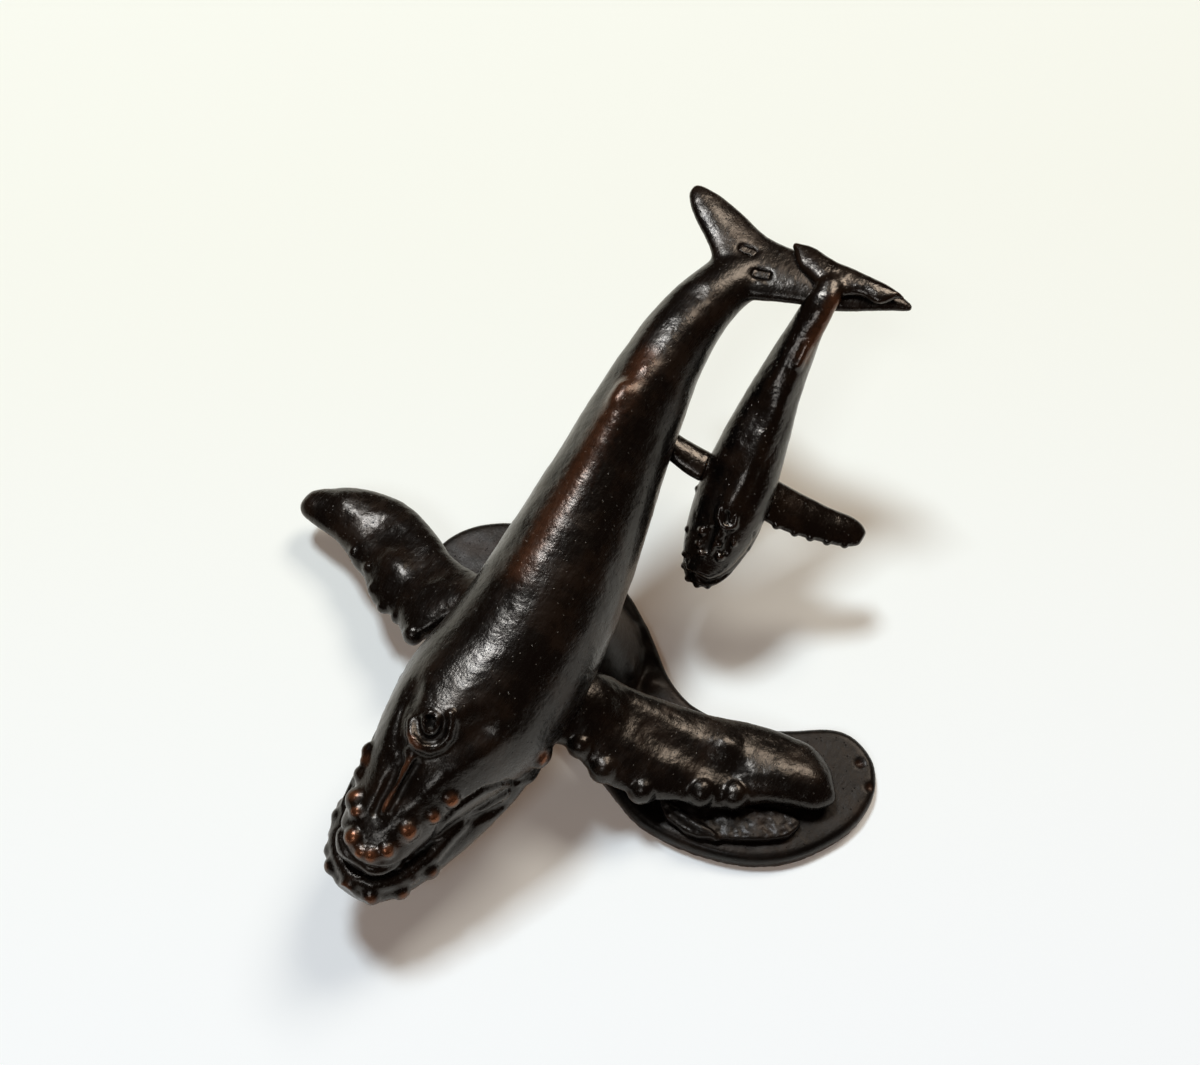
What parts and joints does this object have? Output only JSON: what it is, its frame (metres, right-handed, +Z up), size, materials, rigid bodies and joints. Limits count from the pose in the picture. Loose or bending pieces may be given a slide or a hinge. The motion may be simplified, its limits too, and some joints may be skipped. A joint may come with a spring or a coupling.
{
  "type": "whale figurine",
  "caption": "Cast-bronze figurine of a mother humpback whale and her calf, swimming over a flat free-form base.",
  "frame": {"origin": "on the base's flat underside, below the mother's belly", "axes": "+Z up, both heads towards -Y, the whales' left side towards +X"},
  "size_m": [0.1026, 0.1138, 0.0459],
  "materials": {
    "patinated_bronze": "cast bronze, dark brown patina, waxed, rubbed to copper on the high points",
    "dowel_bronze": "plain drawn bronze rod",
    "screw_brass": "turned brass"
  },
  "bodies": {
    "root": {"base": "patinated_bronze", "rock_ledge": "patinated_bronze", "mother_body": "patinated_bronze", "mother_left_flipper": "patinated_bronze", "mother_right_flipper": "patinated_bronze", "mother_flukes": "patinated_bronze", "tail_plugs": "patinated_bronze", "calf_body": "patinated_bronze", "calf_left_flipper": "patinated_bronze", "calf_right_flipper": "patinated_bronze", "calf_flukes": "patinated_bronze", "mother_left_flipper_dowel": "dowel_bronze", "mother_right_flipper_dowel": "dowel_bronze", "mother_fluke_dowel": "dowel_bronze", "calf_left_flipper_dowel": "dowel_bronze", "calf_right_flipper_dowel": "dowel_bronze", "calf_fluke_dowel": "dowel_bronze", "calf_tie_dowel": "dowel_bronze", "base_screws": "screw_brass"}
  },
  "joints": []
}
